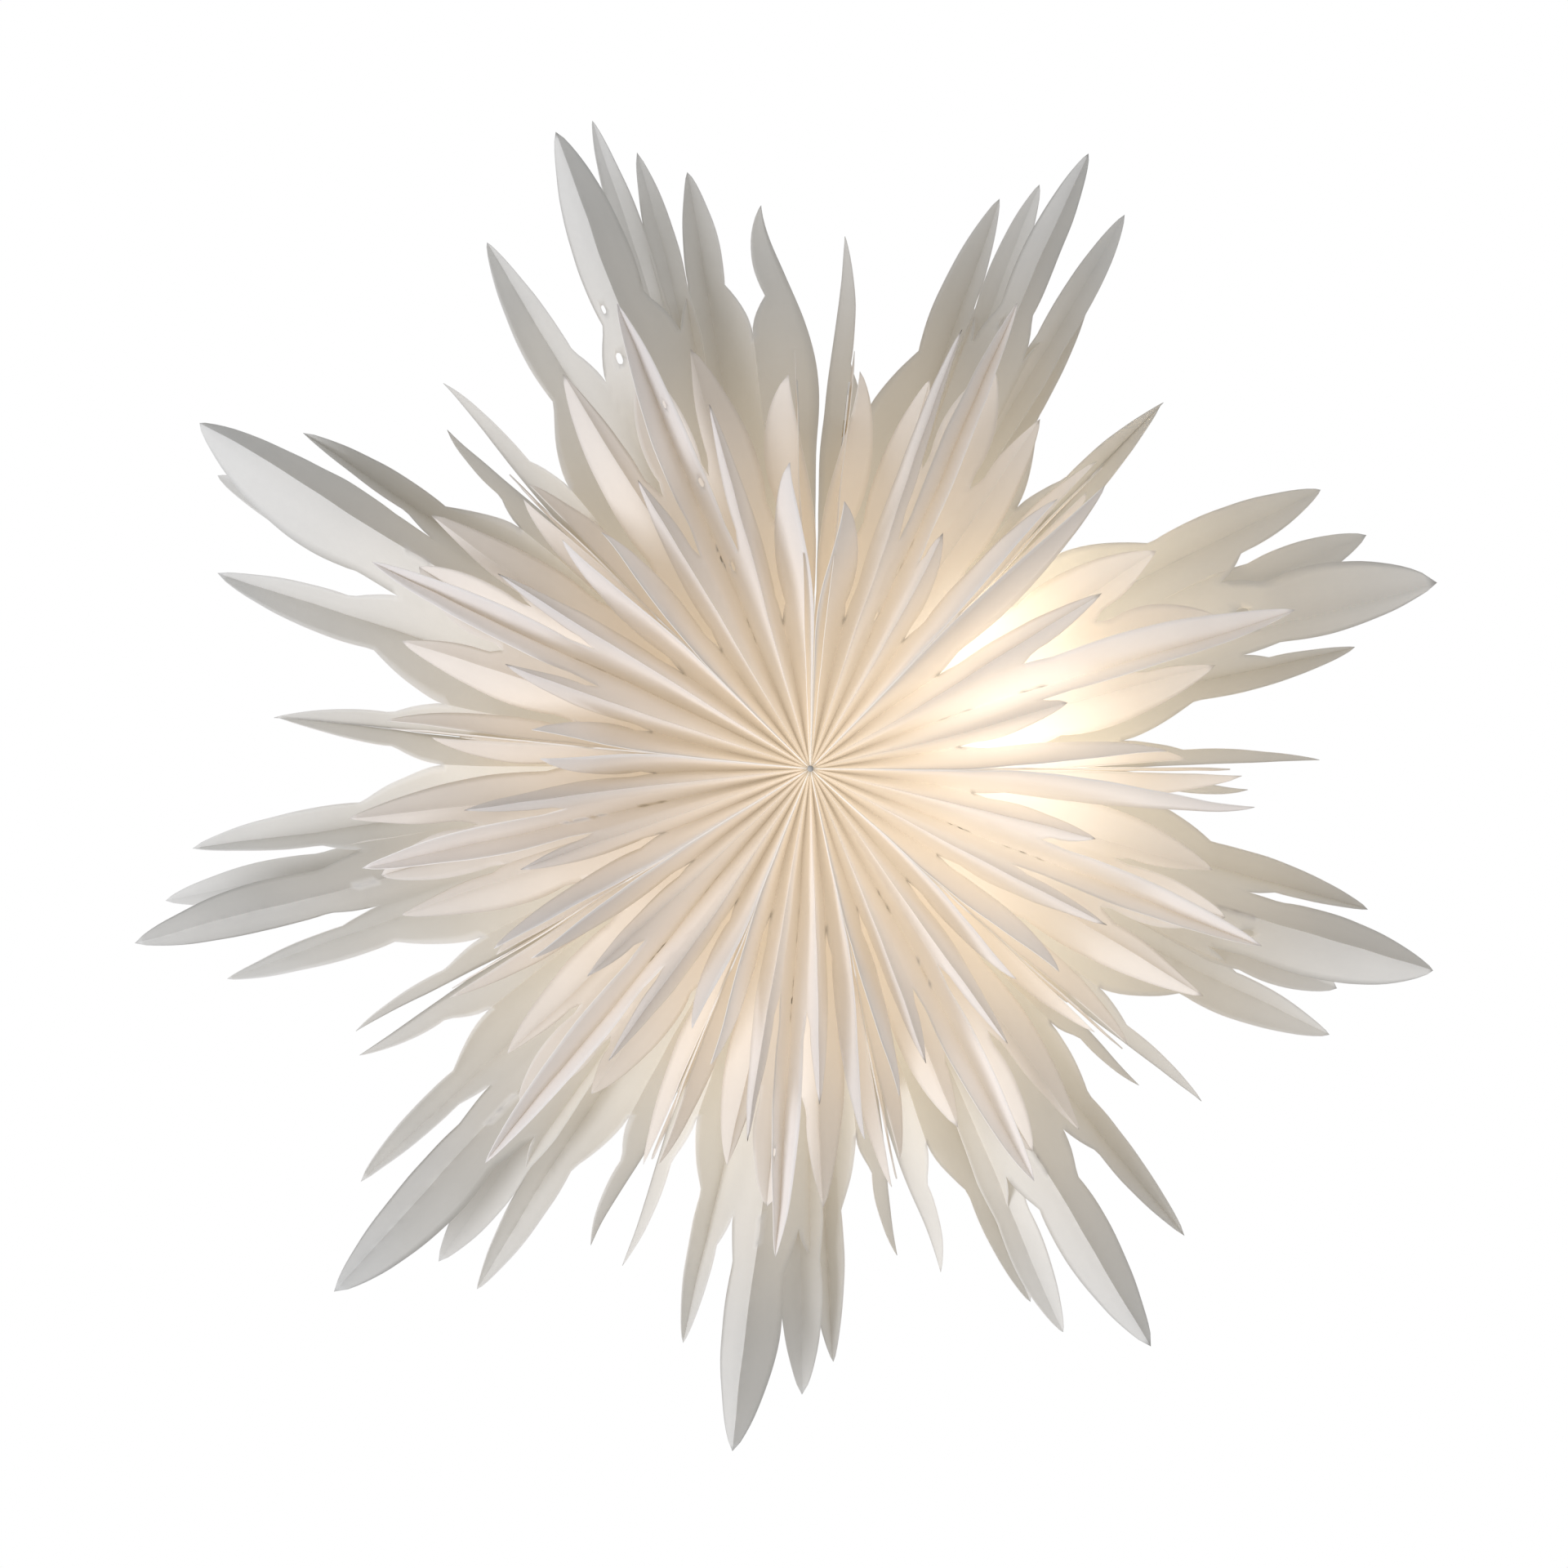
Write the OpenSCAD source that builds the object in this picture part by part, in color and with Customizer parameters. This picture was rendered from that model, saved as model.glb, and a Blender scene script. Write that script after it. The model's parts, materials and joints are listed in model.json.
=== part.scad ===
// Folded paper snowflake star: nine pleated bags fanned round one axis, with a small lamp inside.
// The star faces -Y, +Z is up, and it hangs by the eyelet at the origin.

/* [Bags] */
// Depth of a bag from its front folds to its rear folds
bag_depth = 260; // [250:1:270]
// Thickness of the paper
paper = 0.3; // [0.25:0.05:0.35]
// Radius where the inner edges of the pleats begin
core_radius = 14; // [14:1:18]
// Opening angle that a bag without the lamp folds down to
folded_gap = 5; // [5:1:10]

/* [Front gusset] */
// Length of the first leg, from the front ridge in to the valley
front_first_leg = 70; // [66:1:74]
// Length of the second leg, from the valley back out to the side ridge
front_second_leg = 60; // [56:1:64]
// Length of the third leg, from the side ridge in to the deep fold
front_third_leg = 90; // [86:1:94]
// Reach of the petal on the front ridge
front_ridge_reach = 180; // [160:1:200]
// Reach of the petal on the side ridge
front_side_reach = 180; // [160:1:200]
// Reach of the front leaf on the deep fold
front_leaf_reach = 275; // [250:1:290]
// Radius of the notch between the ridge petals
front_notch = 86; // [80:1:100]

/* [Rear gusset] */
// Length of the first leg, from the rear ridge in to the valley
rear_first_leg = 47; // [45:1:50]
// Length of the second leg, from the valley back out to the side ridge
rear_second_leg = 55; // [52:1:58]
// Length of the third leg, from the side ridge in to the deep fold
rear_third_leg = 110; // [106:1:114]
// Reach of the spike on the rear ridge, the small arm of the star
rear_ridge_reach = 325; // [300:1:340]
// Reach of the spike beside each large arm
rear_side_reach = 372; // [350:1:380]
// Radius of the notch between a small arm and a side spike
rear_notch = 222; // [205:1:235]

/* [End cards] */
// Thickness of the card that stiffens the two end walls
card = 1; // [0.8:0.1:1.2]
// Width of the card, along the star's depth
card_width = 80; // [70:1:90]
// Radius of the card's outer end
card_reach = 225; // [215:1:230]
// Distance of the hanging eyelet from the star's axis
eyelet_radius = 200; // [195:1:205]
// Radius of the hole through the eyelet
eyelet_hole = 2.5; // [2:0.1:3]

/* [Lamp] */
// Distance of the lamp's axis from the star's axis
lamp_radius = 120; // [118:1:126]
// Radius of the globe
globe_radius = 22.5; // [20:0.5:22.5]
// Radius of the lampholder's barrel
holder_radius = 13.5; // [13.5:0.1:14]
// Radius of the cord inlet in the lampholder's cap
inlet_radius = 3.5; // [3:0.1:4]

/* [Hidden] */
// Opening angles of bags 1 to 9, clockwise from the hung end as seen from the front
bag_gaps = [38, 46, 42, 36, 34, 36.5, 37, 39, 43.5];
// Reach of the large arm of bags 1 to 9
arm_reaches = [400, 388, 388, 400, 408, 420, 412, 415, 406];
bag_count = len(bag_gaps);
hung_angle = 84;

front_legs = [front_first_leg, front_second_leg, front_third_leg];
rear_legs = [rear_first_leg, rear_second_leg, rear_third_leg];
side_gap = 0.3;
wall_offset = 2 * paper + side_gap;
leg_columns = 4;
rows = 5;
// Share of the third leg at which its waist lies, and how sharply a petal narrows
waist_share = 0.5;
petal_sharpness = 1.4;
rear_waist_rise = 48;
front_waist_rise = 44;

// Wall outline between the two ridges, as radius and depth from the middle
wall_front_notch = [150, -100];
wall_middle = [[235, -45], [250, -10], [235, 25]];
wall_rear_notch = [205, 70];

card_start = 30;
card_corner = 8;
dot_radius = 8;
dot_thickness = 1;
dot_place = [47, 25];
eyelet_wall = 0.5;
eyelet_flange = [5, 0.4];
thread_radius = 0.5;
knot_radius = 1.8;

// Lamp heights along its own axis, which starts in the wall and points into bag 2
holder_top = 8;
holder_floor = -26;
holder_floor_thickness = 3;
holder_bore = 8.2;
holder_flange = [17, 2];
cap_end = -50;
cap_end_radius = 8;
cap_wall = 1.6;
ring_radius = 19;
ring_height = 6;
shell_inner = 7.3;
shell_outer = 8;
cap_thread_radius = 6.95;
thread_pitch = 2.8;
contact_end = -19.3;
globe_height = 38;
glass = 0.8;
neck_radius = 6.4;
neck_end = 0.5;
collar = [7.2, 4];
insulator_base = -18.3;
screw_cap_base = -17;
contact_sheet = 0.6;
shell_end = -2;
shell_floor_hole = 4;
wire_hole = 3;
tongue = [2.6, 1.6];
screw_turns = 5;
screw_depth = 0.4;
screw_crown = [3.2, 5.6];
insulator_radii = [2.6, 3.2];
bulb_contact_radius = 2.2;
stem_foot = [5, -6];
stem_neck = [2.4, 8];
stem_rod = [1.7, 14, 24];
stem_tip = [1.2, 27, 28];
filament_radius = 0.9;
filament_count = 4;
filament_lean = 12;
filament_length = 30;
filament_start = [2.6, 16];

rim = 0.1;

star_centre = [-eyelet_radius * cos(hung_angle), 0, -eyelet_radius * sin(hung_angle)];

function gap_sum(count) = count == 0 ? 0 : gap_sum(count - 1) + bag_gaps[count - 1];
function wall_angle(wall) = hung_angle - gap_sum(wall);
function bag_angle(bag) = (wall_angle(bag - 1) + wall_angle(bag)) / 2;
function total(legs) = legs[0] + legs[1] + legs[2];

// Folds 0 to 6 cross a gusset: their share of its width, and their depth along the folded legs
function fold_share(legs, fold) =
    fold > 3 ? 1 - fold_share(legs, 6 - fold)
    : fold == 0 ? 0
    : fold == 1 ? legs[0] / (2 * total(legs))
    : fold == 2 ? (legs[0] + legs[1]) / (2 * total(legs))
    : 0.5;
function fold_depth(legs, fold) =
    fold > 3 ? fold_depth(legs, 6 - fold)
    : fold == 0 ? 0
    : fold == 1 ? legs[0]
    : fold == 2 ? legs[0] - legs[1]
    : legs[0] - legs[1] + legs[2];

function mixed(a, b, share) = a + (b - a) * share;
function petal(notch, tip, share) = notch + (tip - notch) * pow(1 - share, petal_sharpness);

// Reach of the outer edge along leg 0 to 5, from its left fold to its right fold
// reaches holds the ridge, notch, side, waist and leaf radii
function leg_reach(reaches, leg, share) =
    leg > 2 ? leg_reach(reaches, 5 - leg, 1 - share)
    : leg == 0 ? petal(reaches[1], reaches[0], share)
    : leg == 1 ? petal(reaches[1], reaches[2], 1 - share)
    : share < waist_share ? petal(reaches[3], reaches[2], share / waist_share)
    : petal(reaches[3], reaches[4], (1 - share) / (1 - waist_share));

// A point of the sheet: along the bag's bisector, in depth from the ridges, and across
// face is 1 on the outer side of the sheet and -1 on the inner side
function sheet_point(legs, gap, reaches, leg, column, row, face) =
    let (
        share = column / leg_columns,
        across = mixed(fold_share(legs, leg), fold_share(legs, leg + 1), share),
        slope = tan(gap / 2) * (1 - 2 * across),
        edge = leg_reach(reaches, leg, share) / sqrt(1 + slope * slope),
        along = mixed(core_radius, edge, row / rows),
        apex = wall_offset / sin(gap / 2),
        tilt = asin((along - apex) * tan(gap / 2) / total(legs)),
        depth = mixed(fold_depth(legs, leg), fold_depth(legs, leg + 1), share) * cos(tilt),
        falling = leg % 2 == 0 ? 1 : -1,
        on_fold = share == 0 ? leg : share == 1 ? leg + 1 : -1,
        inside_valley = face > 0 && on_fold % 2 == 1,
        inside_ridge = face < 0 && (on_fold == 2 || on_fold == 4),
        shift = inside_valley || inside_ridge ? 0 : face * falling * paper / (2 * cos(tilt)),
        lift = inside_valley ? -paper / (2 * sin(tilt)) : inside_ridge ? paper / (2 * sin(tilt)) : 0
    )
    [along, depth + lift, (along - apex) * slope - shift];

// Point numbers in one row: outer side from left to right, then inner side from left to right
function outer(leg, column) = leg * leg_columns + floor(leg / 2) + column;
function inner(leg, column) = 6 * leg_columns + 3 + leg * leg_columns + floor((leg + 1) / 2) + column;

module gusset(legs, gap, reaches) {
    stride = 12 * leg_columns + 7;
    points = [
        for (row = [0:rows]) each [
            for (leg = [0:5], column = [0:leg_columns])
                if (column > 0 || leg % 2 == 0) sheet_point(legs, gap, reaches, leg, column, row, 1),
            for (leg = [0:5], column = [0:leg_columns])
                if (column > 0 || leg == 0 || leg % 2 == 1)
                    sheet_point(legs, gap, reaches, leg, column, row, -1)
        ]
    ];
    // Pairs of point numbers whose strip runs the whole length, on the outer and inner side
    outer_pairs = [
        for (leg = [0:5], column = [0:leg_columns - 1]) [outer(leg, column), outer(leg, column + 1)],
        for (leg = [1, 3]) [outer(leg, leg_columns), outer(leg + 1, 0)],
        [inner(0, 0), outer(0, 0)],
        [outer(5, leg_columns), inner(5, leg_columns)]
    ];
    inner_pairs = [
        for (leg = [0:5], column = [0:leg_columns - 1]) [inner(leg, column), inner(leg, column + 1)],
        for (leg = [0, 2, 4]) [inner(leg, leg_columns), inner(leg + 1, 0)]
    ];
    end_triangles = [
        for (leg = [0:5], column = [0:leg_columns - 1]) each [
            [outer(leg, column), outer(leg, column + 1), inner(leg, column + 1)],
            [outer(leg, column), inner(leg, column + 1), inner(leg, column)]
        ],
        for (leg = [1, 3]) [outer(leg, leg_columns), outer(leg + 1, 0), inner(leg + 1, 0)],
        for (leg = [0, 2, 4]) [outer(leg + 1, 0), inner(leg + 1, 0), inner(leg, leg_columns)]
    ];
    last = rows * stride;
    faces = [
        for (row = [0:rows - 1], pair = outer_pairs) each
            let (a = row * stride + pair[0], b = row * stride + pair[1])
                [[a, b + stride, b], [a, a + stride, b + stride]],
        for (row = [0:rows - 1], pair = inner_pairs) each
            let (a = row * stride + pair[0], b = row * stride + pair[1])
                [[a, b, b + stride], [a, b + stride, a + stride]],
        for (t = end_triangles) t,
        for (t = end_triangles) [t[2] + last, t[1] + last, t[0] + last]
    ];
    translate([0, -bag_depth / 2, 0]) polyhedron(points, faces, convexity = 12);
}

module in_star(angle) {
    translate(star_centre) rotate([0, -angle, 0]) children();
}

module front_gusset(bag) {
    reaches = [front_ridge_reach, front_notch, front_side_reach,
        front_notch + front_waist_rise, front_leaf_reach];
    color([0.93, 0.89, 0.85])
        in_star(bag_angle(bag)) gusset(front_legs, bag_gaps[bag - 1], reaches);
}

module rear_gusset(bag) {
    reaches = [rear_ridge_reach, rear_notch, rear_side_reach,
        rear_notch + rear_waist_rise, arm_reaches[bag - 1]];
    color([0.88, 0.87, 0.84])
        in_star(bag_angle(bag)) mirror([0, 1, 0]) gusset(rear_legs, bag_gaps[bag - 1], reaches);
}

// Flat wall of a bag, with the holes that its wall carries
module wall_sheet(wall) {
    linear_extrude(paper)
        difference() {
            polygon(concat(
                [[core_radius, -bag_depth / 2], [front_ridge_reach, -bag_depth / 2], wall_front_notch],
                wall_middle,
                [wall_rear_notch, [rear_ridge_reach, bag_depth / 2], [core_radius, bag_depth / 2]]
            ));
            if (wall == 1) translate([lamp_radius, 0]) circle(holder_radius + side_gap, $fn = 64);
            if (wall == 0) translate([eyelet_radius, 0]) circle(eyelet_hole + eyelet_wall, $fn = 48);
            if (wall == bag_count) translate([eyelet_radius, 0]) circle(eyelet_hole + 1, $fn = 48);
        }
}

module left_panel(bag) {
    color([0.92, 0.9, 0.87])
        in_star(wall_angle(bag - 1)) translate([0, 0, -paper]) wall_sheet(bag - 1);
}

module right_panel(bag) {
    color([0.92, 0.9, 0.87]) in_star(wall_angle(bag)) wall_sheet(bag);
}

module card_sheet(hole) {
    half = card_width / 2;
    linear_extrude(card)
        difference() {
            polygon([
                [card_start + card_corner, -half], [card_reach - card_corner, -half],
                [card_reach, card_corner - half], [card_reach, half - card_corner],
                [card_reach - card_corner, half], [card_start + card_corner, half],
                [card_start, half - card_corner], [card_start, card_corner - half]
            ]);
            translate([eyelet_radius, 0]) circle(hole, $fn = 48);
        }
}

module first_end_card() {
    color("white") in_star(hung_angle) card_sheet(eyelet_hole + eyelet_wall);
}

module last_end_card() {
    color("white")
        in_star(wall_angle(bag_count)) translate([0, 0, -card]) card_sheet(eyelet_hole + 1);
}

module dots() {
    for (side = [-1, 1])
        translate([dot_place[0], side * dot_place[1], 0])
            cylinder(r = dot_radius, h = dot_thickness, $fn = 48);
}

module hook_dots() {
    color("gainsboro") in_star(hung_angle) translate([0, 0, card]) dots();
}

module loop_dots() {
    color("whitesmoke")
        in_star(wall_angle(bag_count)) translate([0, 0, -card - dot_thickness]) dots();
}

module hanging_eyelet() {
    outer_radius = eyelet_hole + eyelet_wall;
    color("gold")
        in_star(hung_angle) translate([eyelet_radius, 0, 0])
            rotate_extrude($fn = 64)
                polygon([
                    [eyelet_hole, -paper - eyelet_flange[1]], [eyelet_flange[0], -paper - eyelet_flange[1]],
                    [eyelet_flange[0], -paper], [outer_radius, -paper],
                    [outer_radius, card], [eyelet_flange[0], card],
                    [eyelet_flange[0], card + eyelet_flange[1]], [eyelet_hole, card + eyelet_flange[1]]
                ]);
}

module spine_thread() {
    length = bag_depth + 2 * knot_radius;
    color("darkgray")
        translate(star_centre) rotate([90, 0, 0]) {
            cylinder(r = thread_radius, h = length, center = true, $fn = 24);
            for (end = [-1, 1]) translate([0, 0, end * length / 2]) sphere(knot_radius, $fn = 24);
        }
}

// The lamp's own axis: origin in the wall between bags 1 and 2, +Z into bag 2
module in_lamp() {
    in_star(wall_angle(1)) translate([lamp_radius, 0, 0]) rotate([180, 0, 0]) children();
}

module lampholder_barrel() {
    floor_top = holder_floor + holder_floor_thickness;
    color("white")
        in_lamp() difference() {
            union() {
                translate([0, 0, holder_floor])
                    cylinder(r = holder_radius, h = holder_top - holder_floor, $fn = 72);
                translate([0, 0, -paper - holder_flange[1]])
                    cylinder(r = holder_flange[0], h = holder_flange[1], $fn = 72);
            }
            translate([0, 0, floor_top])
                cylinder(r = holder_bore, h = holder_top - floor_top + rim, $fn = 72);
            translate([0, 0, holder_floor - rim])
                cylinder(r = wire_hole, h = holder_floor_thickness + 2 * rim, $fn = 48);
        }
}

module lampholder_cap() {
    color("white")
        in_lamp() rotate_extrude($fn = 72)
            polygon([
                [holder_radius, holder_floor], [holder_radius, holder_floor - 10],
                [cap_end_radius, cap_end], [inlet_radius, cap_end],
                [inlet_radius, cap_end + 6], [cap_end_radius - cap_wall, cap_end + 6],
                [holder_radius - cap_wall, holder_floor - 10], [holder_radius - cap_wall, holder_floor]
            ]);
}

module lampholder_ring() {
    inner_radius = holder_radius + rim;
    color("white")
        in_lamp() translate([0, 0, paper + rim]) rotate_extrude($fn = 72)
            polygon([
                [inner_radius, 0], [ring_radius, 0], [ring_radius, 1.6],
                [inner_radius + 2, ring_height], [inner_radius, ring_height]
            ]);
}

module shell_contact() {
    bottom = holder_floor + holder_floor_thickness;
    color("gold")
        in_lamp() difference() {
            translate([0, 0, bottom]) cylinder(r = shell_outer, h = shell_end - bottom, $fn = 64);
            translate([0, 0, bottom + contact_sheet])
                cylinder(r = shell_inner, h = shell_end - bottom, $fn = 64);
            translate([0, 0, bottom - rim])
                cylinder(r = shell_floor_hole, h = contact_sheet + 2 * rim, $fn = 48);
        }
}

module centre_contact() {
    foot = 1;
    top = contact_end - holder_floor - side_gap;
    color("gold")
        in_lamp() translate([0, 0, holder_floor]) rotate_extrude($fn = 48)
            polygon([
                [0, -foot], [shell_floor_hole, -foot], [shell_floor_hole, 0], [tongue[0], 0],
                [tongue[0], top - 1], [tongue[1], top], [0, top]
            ]);
}

// Round half of the globe as points at a given radius, from the tip to where it meets the neck
function globe_arc(radius, neck) =
    let (last = 180 - asin(neck / radius), steps = 24)
    [for (i = [0:steps]) let (a = last * i / steps) [radius * sin(a), globe_height + radius * cos(a)]];

module bulb_globe() {
    inside = globe_arc(globe_radius - glass, neck_radius - glass);
    color([1, 0.97, 0.88, 0.4])
        in_lamp() rotate_extrude($fn = 72)
            polygon(concat(
                globe_arc(globe_radius, neck_radius),
                [[neck_radius, neck_end], [neck_radius - glass, neck_end]],
                [for (i = [len(inside) - 1:-1:0]) inside[i]]
            ));
}

// Screw cap with round-topped rings for its thread and a collar round the globe's neck
module bulb_screw_cap() {
    thread_start = screw_cap_base + 2;
    inside = neck_radius - glass;
    thread = [
        for (i = [0:screw_turns * 4])
            [cap_thread_radius - screw_depth / 2 * (1 + cos(i * 90)), thread_start + i * thread_pitch / 4]
    ];
    color("silver")
        in_lamp() rotate_extrude($fn = 64)
            polygon(concat(
                [[0, screw_cap_base], [screw_crown[0], screw_cap_base],
                [screw_crown[1], thread_start - contact_sheet]],
                thread,
                [[cap_thread_radius, 0], [collar[0], collar[1] / 5], collar, [neck_radius, collar[1]],
                [neck_radius, neck_end], [inside, neck_end], [inside, thread_start], [0, thread_start]]
            ));
}

module bulb_insulator() {
    color("black")
        in_lamp() translate([0, 0, insulator_base])
            cylinder(r1 = insulator_radii[0], r2 = insulator_radii[1],
                h = screw_cap_base - insulator_base, $fn = 48);
}

module bulb_contact() {
    color("silver")
        in_lamp() translate([0, 0, contact_end])
            cylinder(r = bulb_contact_radius, h = insulator_base - contact_end, $fn = 48);
}

module filament_stem() {
    foot = screw_cap_base + 2;
    color([0.9, 0.95, 1, 0.5])
        in_lamp() rotate_extrude($fn = 48)
            polygon([
                [0, foot], [stem_foot[0], foot], stem_foot, stem_neck, [stem_rod[0], stem_rod[1]],
                [stem_rod[0], stem_rod[2]], [stem_tip[0], stem_tip[1]], [0, stem_tip[2]]
            ]);
}

// The stems of light lean outward like the ribs of a cone, each touching the stem at its foot
module filaments() {
    color("khaki")
        in_lamp() for (i = [0:filament_count - 1])
            rotate([0, 0, 360 * i / filament_count])
                translate([filament_start[0], 0, filament_start[1]])
                    rotate([0, filament_lean, 0])
                        cylinder(r = filament_radius, h = filament_length, $fn = 24);
}

for (bag = [1:bag_count]) {
    left_panel(bag);
    right_panel(bag);
    front_gusset(bag);
    rear_gusset(bag);
}
first_end_card();
last_end_card();
hook_dots();
loop_dots();
hanging_eyelet();
spine_thread();
lampholder_barrel();
lampholder_cap();
lampholder_ring();
shell_contact();
centre_contact();
bulb_globe();
bulb_screw_cap();
bulb_insulator();
bulb_contact();
filament_stem();
filaments();
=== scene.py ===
"""Looks of the folded paper snowflake star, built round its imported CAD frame."""

import json
import math
import random
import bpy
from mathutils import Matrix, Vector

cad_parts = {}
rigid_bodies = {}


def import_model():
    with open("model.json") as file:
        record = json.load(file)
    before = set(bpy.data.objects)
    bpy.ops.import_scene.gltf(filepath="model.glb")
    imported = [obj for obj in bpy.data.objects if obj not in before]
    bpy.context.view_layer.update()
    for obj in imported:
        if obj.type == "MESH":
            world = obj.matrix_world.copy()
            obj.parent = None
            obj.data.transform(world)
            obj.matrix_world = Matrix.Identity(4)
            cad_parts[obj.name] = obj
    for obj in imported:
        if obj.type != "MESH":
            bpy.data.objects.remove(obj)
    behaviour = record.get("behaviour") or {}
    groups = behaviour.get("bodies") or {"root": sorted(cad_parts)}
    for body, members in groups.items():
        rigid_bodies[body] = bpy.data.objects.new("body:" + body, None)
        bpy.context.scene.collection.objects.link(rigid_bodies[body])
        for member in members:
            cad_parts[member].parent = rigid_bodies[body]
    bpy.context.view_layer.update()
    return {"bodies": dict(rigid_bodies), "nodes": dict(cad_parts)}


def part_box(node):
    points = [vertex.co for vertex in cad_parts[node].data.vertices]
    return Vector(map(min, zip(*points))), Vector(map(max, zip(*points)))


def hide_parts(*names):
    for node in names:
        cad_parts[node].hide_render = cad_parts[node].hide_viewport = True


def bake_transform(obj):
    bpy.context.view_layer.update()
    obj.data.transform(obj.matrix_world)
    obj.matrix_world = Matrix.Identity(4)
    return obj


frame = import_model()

from types import SimpleNamespace

import bmesh
import bpy
import numpy as np
from mathutils import Vector, noise

noise.seed_set(7)       # left alone, Blender seeds its noise from the clock
MM = 0.001

# ---------------------------------------------------------------- places from the frame


def middle(node):
    low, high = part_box(node)
    return (low + high) / 2


CENTRE = middle("spine_thread")
LAMP = middle("bulb_globe")
# Centre of the lamp's light that is painted into the paper's emission
GLOW_HEART = LAMP.lerp(CENTRE, 0.05) + Vector((0, -0.03, -0.035))


def wall_angle_of(node):
    """Angle of a flat wall round the star's axis: degrees counterclockwise from +X, seen from the front."""
    mesh = frame["nodes"][node].data
    places = np.array([v.co for v in mesh.vertices]) - np.array(CENTRE)
    return math.degrees(math.atan2(places[:, 2].mean(), places[:, 0].mean()))


def clockwise_from(previous, angle):
    """The same direction as angle, written so that it follows previous clockwise."""
    while angle > previous:
        angle -= 360
    return angle


WALLS = [wall_angle_of("bag_1_left_panel")]
for number in range(1, 10):
    WALLS.append(clockwise_from(WALLS[-1], wall_angle_of(f"bag_{number}_right_panel")))


def place(angle, radius, depth):
    """A point of the star: angle in degrees, radius and depth in millimetres from its centre."""
    a = math.radians(angle)
    return CENTRE + Vector((radius * math.cos(a), depth, radius * math.sin(a))) * MM


# ---------------------------------------------------------------- how each bag is cut
# Angles are in degrees counterclockwise from +X as seen from the front, and reaches are in millimetres.
# Each bag runs clockwise from its left wall to its right wall, so its angles fall.

# A rear gusset: (left, right) small spikes by the walls, notches beside them and side spikes, each an angle
# and a reach; then its large arm, and how wide that is against the usual one.

REAR = [
    dict(small=((86.2, 324), (46, 311)), notch=((82.5, 212), (52.6, 201)),
         side=((71.5, 366), (60.7, 362)), arm=(65.6, 400), wide=0.75),
    dict(small=((46, 308), (1.2, 310)), notch=((41.4, 198), (5.8, 190)),
         side=((28.7, 354), (12.8, 340)), arm=(16.6, 388), wide=1.0),
    dict(small=((-2.5, 267), (-40.2, 312)), notch=((-4.6, 199), (-37.2, 219)),
         side=((-14.2, 350), (-26.8, 355)), arm=(-17.8, 389), wide=1.2),
    dict(small=((-43.7, 277), (-75.4, 316)), notch=((-46.4, 210), (-71.6, 236)),
         side=((-51.2, 363), (-67.4, 350)), arm=(-59.4, 398), wide=0.85),
    dict(small=((-79.8, 300), (-110.5, 321)), notch=((-83.3, 222), (-107.4, 220)),
         side=((-87.6, 360), (-102.4, 355)), arm=(-96.4, 407), wide=0.95),
    dict(small=((-114.7, 317), (-147.5, 324)), notch=((-118.0, 235), (-142.6, 240)),
         side=((-122.6, 374), (-137.4, 368)), arm=(-132.4, 418), wide=1.0),
    dict(small=((-149.9, 318), (-185.5, 322)), notch=((-153.0, 221), (-180.7, 220)),
         side=((-160.3, 375), (-172.6, 377)), arm=(-165.6, 412), wide=0.9),
    dict(small=((-185.5, 326), (-223.3, 302)), notch=((-190.1, 223), (-219.5, 226)),
         side=((-198.6, 378), (-213.6, 368)), arm=(-209.6, 414), wide=1.25),
    dict(small=((-226.6, 323), (-265.2, 344)), notch=((-229.4, 222), (-262.6, 262)),
         side=((-238.7, 374), (-258.6, 370)), arm=(-248.2, 406), wide=0.7),
]

# Leaves tucked behind the large arms
TWINS = [
    [(60.2, 386), (68.6, 380)],
    [(22.8, 366)],
    [(-22.5, 345)],
    [(-65.8, 374)],
    [(-90.6, 378)],
    [(-127.0, 372)],
    [(-168.4, 396)],
    [(-206.6, 399)],
    [(-251.6, 414), (-254.6, 388)],
]

# A front gusset: (left, right) petals by the walls and on the side ridges, and the leaf on the deep fold
FRONT = [
    dict(small=((82.8, 150), (47.5, 205)), side=((71.0, 262), (62.6, 152)), leaf=(66.0, 290)),
    dict(small=((44.0, 230), (3.0, 200)), side=((31.4, 192), (15.4, 150)), leaf=(18.0, 292)),
    dict(small=((-4.8, 250), (-39.0, 180)), side=((-14.0, 165), (-27.4, 188)), leaf=(-21.4, 278)),
    dict(small=((-45.4, 165), (-74.8, 190)), side=((-54.6, 190), (-69.4, 178)), leaf=(-61.5, 268)),
    dict(small=((-81.6, 210), (-108.6, 175)), side=((-88.2, 188), (-99.4, 212)), leaf=(-94.0, 280)),
    dict(small=((-114.6, 160), (-146.0, 190)), side=((-124.8, 200), (-137.0, 172)), leaf=(-129.6, 292)),
    dict(small=((-150.6, 205), (-182.0, 152)), side=((-161.4, 172), (-173.0, 196)), leaf=(-167.6, 262)),
    dict(small=((-187.8, 158), (-222.4, 190)), side=((-199.2, 182), (-211.6, 208)), leaf=(-205.2, 276)),
    dict(small=((-228.4, 178), (-266.0, 172)), side=((-239.6, 190), (-254.6, 212)), leaf=(-247.6, 288)),
]


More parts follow.
